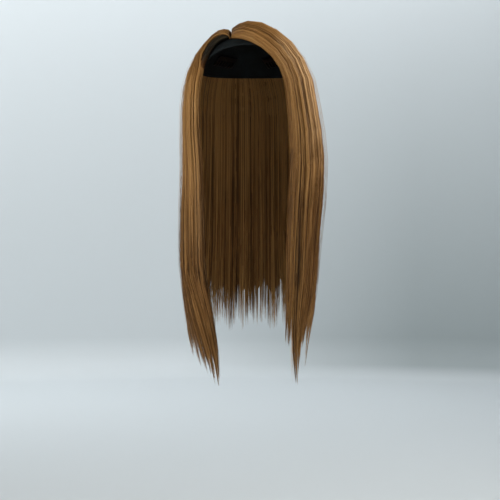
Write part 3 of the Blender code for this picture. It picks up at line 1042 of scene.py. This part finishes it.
def net_skin_faces(first, turn):
    """The faces of one skin of the net, from its middle point out to its rim."""
    faces = []
    for spoke in range(NET_SPOKES):
        after = (spoke + 1) % NET_SPOKES
        faces.append((first, first + 1 + spoke, first + 1 + after)[::turn])
        for ring in range(NET_RINGS - 1):
            inner = first + 1 + ring * NET_SPOKES
            outer = inner + NET_SPOKES
            faces.append((inner + spoke, outer + spoke, outer + after, inner + after)[::turn])
    return faces


def net_shell():
    """The base's thin net, closed round its rim."""
    shares = np.linspace(0, 1, NET_RINGS + 1)[1:]
    points = []
    for offset in (0.0, NET_THICKNESS):
        points.append(on_crown(0.0, 0.0, offset)[None, :])
        points += [base_ring(share, offset) for share in shares]
    per_skin = 1 + NET_RINGS * NET_SPOKES
    faces = net_skin_faces(0, -1) + net_skin_faces(per_skin, 1)
    rim = per_skin - NET_SPOKES
    for spoke in range(NET_SPOKES):
        after = (spoke + 1) % NET_SPOKES
        faces.append((rim + spoke, rim + after, per_skin + rim + after, per_skin + rim + spoke))
    mesh = bpy.data.meshes.new("base_net")
    mesh.from_pydata([tuple(point) for point in np.concatenate(points)], [], faces)
    mesh.shade_smooth()
    mesh.set_sharp_from_angle(angle=np.radians(SHARP_EDGE))
    return mesh


def rolled_hem():
    """The roll of cloth along the net's rim."""
    middle = base_ring(HEM_PLACE, NET_THICKNESS / 2)
    ahead = np.roll(middle, -1, axis=0) - np.roll(middle, 1, axis=0)
    ahead /= np.linalg.norm(ahead, axis=1, keepdims=True)
    out = middle - np.array((0.0, 0.0, -HOLLOW_HEIGHT))
    out /= np.linalg.norm(out, axis=1, keepdims=True)
    aside = np.cross(ahead, out)
    hem = []
    for turn in np.linspace(0, 2 * np.pi, HEM_SIDES, endpoint=False):
        hem.append(middle + (aside * np.cos(turn) * HEM_WIDENING + out * np.sin(turn)) * HEM_RADIUS)
    faces = []
    for spoke in range(NET_SPOKES):
        low = spoke * HEM_SIDES
        high = (spoke + 1) % NET_SPOKES * HEM_SIDES
        for corner in range(HEM_SIDES):
            beside = (corner + 1) % HEM_SIDES
            faces.append((low + corner, high + corner, high + beside, low + beside))
    mesh = bpy.data.meshes.new("base_hem")
    mesh.from_pydata([tuple(point) for point in np.stack(hem, axis=1).reshape(-1, 3)], [], faces)
    mesh.shade_smooth()
    return mesh


def make_camera():
    """A level camera in front, with the photo's view."""
    data = bpy.data.cameras.new("camera")
    data.sensor_width = SENSOR
    data.lens = SENSOR * CAMERA_DISTANCE / (IMAGE_PIXELS * PIXEL)
    camera = bpy.data.objects.new("camera", data)
    camera.location = (0, -CAMERA_DISTANCE, CAMERA_HEIGHT)
    camera.rotation_euler = (np.pi / 2, 0, 0)
    bpy.context.collection.objects.link(camera)
    bpy.context.scene.camera = camera


def area_light(name, place, aim, size, power, colour):
    """One flat light that faces its aim."""
    data = bpy.data.lights.new(name, "AREA")
    data.shape = "RECTANGLE"
    data.size, data.size_y = size
    data.energy = power
    data.color = colour
    light = bpy.data.objects.new(name, data)
    light.location = place
    light.rotation_euler = (Vector(aim) - Vector(place)).to_track_quat("-Z", "Y").to_euler()
    bpy.context.collection.objects.link(light)


def pale_paint_and_shade():
    """The stage's pale paint, with painted shade deepening it towards the lower right of the wall, where
    less light falls.
    """
    material, tree, shader = new_material("pale_paint_and_shade")
    place = tree.nodes.new("ShaderNodeTexCoord")
    split = tree.nodes.new("ShaderNodeSeparateXYZ")
    tree.links.new(place.outputs["Object"], split.inputs[0])
    # Painted shade: darker to the right and on the wall low down, pale on the floor
    right = ramp(tree, math_node(tree, "ADD", split.outputs["X"], 0.5), WALL_SHADE_RIGHT)
    height = math_node(tree, "MULTIPLY", math_node(tree, "SUBTRACT", split.outputs["Z"], FLOOR_HEIGHT), 0.8)
    low = ramp(tree, height, WALL_SHADE_HEIGHT)
    colour = ramp(tree, math_node(tree, "MULTIPLY", right, low), ((0.0, PALE_PAINT), (1.0, WALL_PAINTED_SHADE)))
    tree.links.new(colour, shader.inputs["Base Color"])
    shader.inputs["Roughness"].default_value = 0.7
    return material


def make_stage():
    """A pale round floor that sweeps up into a wall all the way round."""
    profile = [(STAGE_RADIUS / 2, FLOOR_HEIGHT)]
    for turn in np.linspace(0, np.pi / 2, SWEEP_STEPS):
        rise = SWEEP_RADIUS * (1 - np.cos(turn))
        profile.append((STAGE_RADIUS - SWEEP_RADIUS * (1 - np.sin(turn)), FLOOR_HEIGHT + rise))
    profile.append((STAGE_RADIUS, STAGE_TOP))
    angles = np.linspace(0, 2 * np.pi, STAGE_SPOKES, endpoint=False)
    points = [(r * np.sin(angle), r * np.cos(angle), z) for r, z in profile for angle in angles]
    faces = [tuple(range(STAGE_SPOKES))[::-1]]
    for ring in range(len(profile) - 1):
        for spoke in range(STAGE_SPOKES):
            low = ring * STAGE_SPOKES + spoke
            low_after = ring * STAGE_SPOKES + (spoke + 1) % STAGE_SPOKES
            faces.append((low, low_after, low_after + STAGE_SPOKES, low + STAGE_SPOKES))
    mesh = bpy.data.meshes.new("stage_sweep")
    mesh.from_pydata(points, [], faces)
    mesh.shade_smooth()
    mesh.materials.append(pale_paint_and_shade())
    stage = bpy.data.objects.new("stage_sweep", mesh)
    bpy.context.collection.objects.link(stage)


def light_stage():
    """The lights, a faint even glow and the plain view of their colours."""
    for light in LIGHTS:
        area_light(*light)
    world = bpy.data.worlds.new("soft_studio")
    world.use_nodes = True
    air = world.node_tree.nodes["Background"]
    air.inputs["Color"].default_value = STUDIO_AIR
    air.inputs["Strength"].default_value = STUDIO_AIR_STRENGTH
    bpy.context.scene.world = world
    bpy.context.scene.view_settings.view_transform = "Standard"


def replaced_solid(side, section):
    """The frame's solid that a section's body stands in for. Both sides share the one at the back."""
    return "hair_back" if section == BACK else piece_name(side, SECTION_NAMES[section])


def make_hair():
    """Each section's body and strands, and each side's loose hairs."""
    streaks = streak_group()
    strands = honey_hair(streaks)
    body = under_hair(streaks)
    for side in (LEFT, RIGHT):
        for section in range(len(SECTION_NAMES)):
            place_piece(body_of_section(side, section), body, "hair", replaced_solid(side, section))
            place_piece(strands_of_section(side, section), strands, "hair")
        place_piece(flyaway_strands(side), strands, "hair")


def make_base():
    """The net base and its hem."""
    cloth = net_cloth()
    place_piece(net_shell(), cloth, "base_net", "cap_base")
    place_piece(rolled_hem(), cloth, "base_net")


def finish_clips():
    """Gives the frame's own clips their lacquer."""
    lacquer = black_lacquer()
    for name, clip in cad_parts.items():
        if name.startswith("clip_"):
            clip.data.materials.clear()
            clip.data.materials.append(lacquer)


make_camera()
make_stage()
light_stage()
make_base()
finish_clips()
make_hair()
